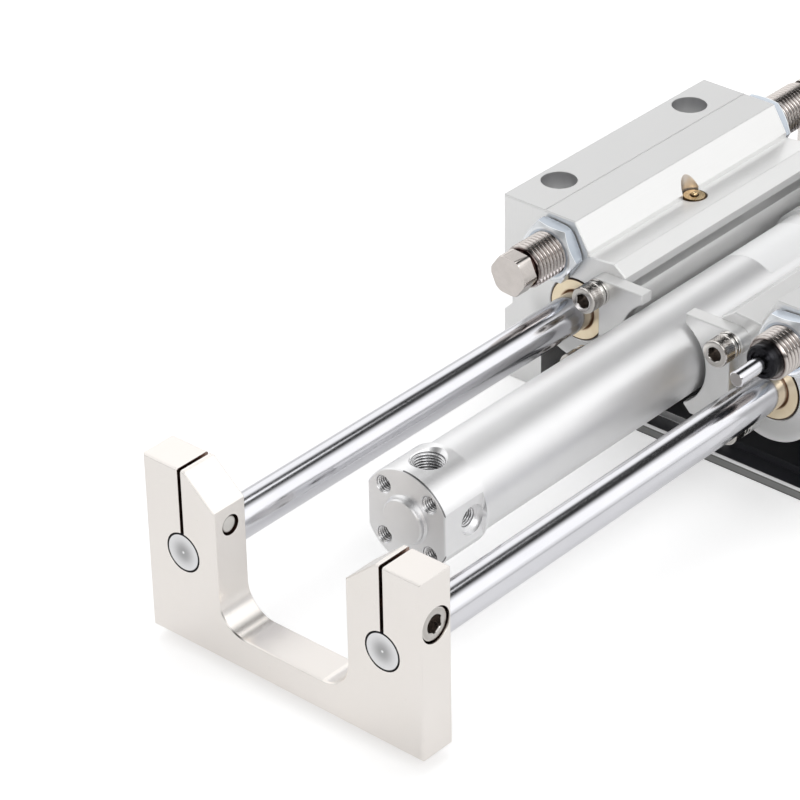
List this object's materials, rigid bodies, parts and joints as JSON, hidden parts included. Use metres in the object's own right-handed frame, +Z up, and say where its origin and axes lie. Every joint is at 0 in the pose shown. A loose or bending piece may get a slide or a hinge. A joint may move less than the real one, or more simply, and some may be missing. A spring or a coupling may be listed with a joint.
{
  "type": "guided pneumatic cylinder",
  "caption": "Round air cylinder in a guide body with clamped guide rods, a U-shaped rear plate, a front load plate, adjustable end stops and shock absorbers.",
  "frame": {"origin": "centre of the four mounting holes, on the face the unit is bolted down by", "axes": "+X along the stroke towards the front plate, +Y to the left, +Z up"},
  "size_m": [0.3165, 0.1284, 0.063],
  "materials": {
    "body_aluminium": "clear anodised extrusion, satin",
    "black_plate": "black finish with bare cut edges",
    "plate_ivory": "warm off-white satin",
    "hard_chrome": "ground and hard chromed",
    "tube_satin": "fine satin anodised tube",
    "cover_blasted": "bead blasted",
    "bronze": "turned bearing bronze",
    "brass": "bright brass",
    "nickel_steel": "nickel plated",
    "zinc_steel": "zinc plated, blue-white",
    "stainless": "plain bright steel",
    "black_ring": "black oxide",
    "seal_rubber": "nitrile rubber",
    "wear_polymer": "acetal",
    "magnet": "bonded ferrite"
  },
  "bodies": {
    "frame": {"guide_housing_left": "body_aluminium", "guide_housing_right": "body_aluminium", "base_plate": "black_plate", "base_plate_screws": "stainless", "guide_bush_rear_left": "bronze", "guide_bush_rear_right": "bronze", "guide_bush_front_left": "bronze", "guide_bush_front_right": "bronze", "grease_nipple_left": "brass", "grease_nipple_right": "brass", "nipple_balls": "stainless", "cylinder_holder_left": "body_aluminium", "cylinder_holder_right": "body_aluminium", "holder_screws": "stainless", "holder_washers": "stainless", "front_mount_plate": "body_aluminium", "front_mount_screws": "stainless", "stop_bolt_rear": "nickel_steel", "stop_bolt_front": "nickel_steel", "lock_nut_rear_left": "zinc_steel", "lock_nut_rear_right": "zinc_steel", "lock_nut_front_left": "zinc_steel", "lock_nut_front_right": "zinc_steel", "shock_absorber_rear": "nickel_steel", "shock_absorber_front": "nickel_steel", "absorber_ring_rear": "black_ring", "absorber_ring_front": "black_ring", "head_cover": "cover_blasted", "rod_cover": "cover_blasted", "cylinder_tube": "tube_satin", "tube_gaskets": "seal_rubber", "piston_rod_bush": "bronze", "piston_rod_seal": "seal_rubber", "bumper_rear": "seal_rubber", "bumper_front": "seal_rubber"},
    "carriage": {"piston": "tube_satin", "piston_seal": "seal_rubber", "piston_magnet": "magnet", "piston_wear_ring": "wear_polymer", "piston_rod": "hard_chrome", "rear_plate": "plate_ivory", "rear_clamp_screws": "stainless", "guide_rod_left": "hard_chrome", "guide_rod_right": "hard_chrome", "front_plate": "plate_ivory", "rod_end_screws": "stainless"},
    "pin_rear": {"absorber_pin_rear": "hard_chrome"},
    "pin_front": {"absorber_pin_front": "hard_chrome"}
  },
  "joints": [
    {"name": "stroke", "type": "slide", "parent": "frame", "child": "carriage", "axis": [1, 0, 0], "range_m": [0, 0.13395]},
    {"name": "rear_pin", "type": "slide", "parent": "frame", "child": "pin_rear", "axis": [1, 0, 0], "range_m": [0, 0.0046]},
    {"name": "front_pin", "type": "slide", "parent": "frame", "child": "pin_front", "axis": [1, 0, 0], "range_m": [0, 0.0046]}
  ],
  "couplings": [
    {"joint": "rear_pin", "follows": "stroke", "ratio": 0.03434},
    {"joint": "front_pin", "follows": "stroke", "ratio": 0.03434}
  ]
}
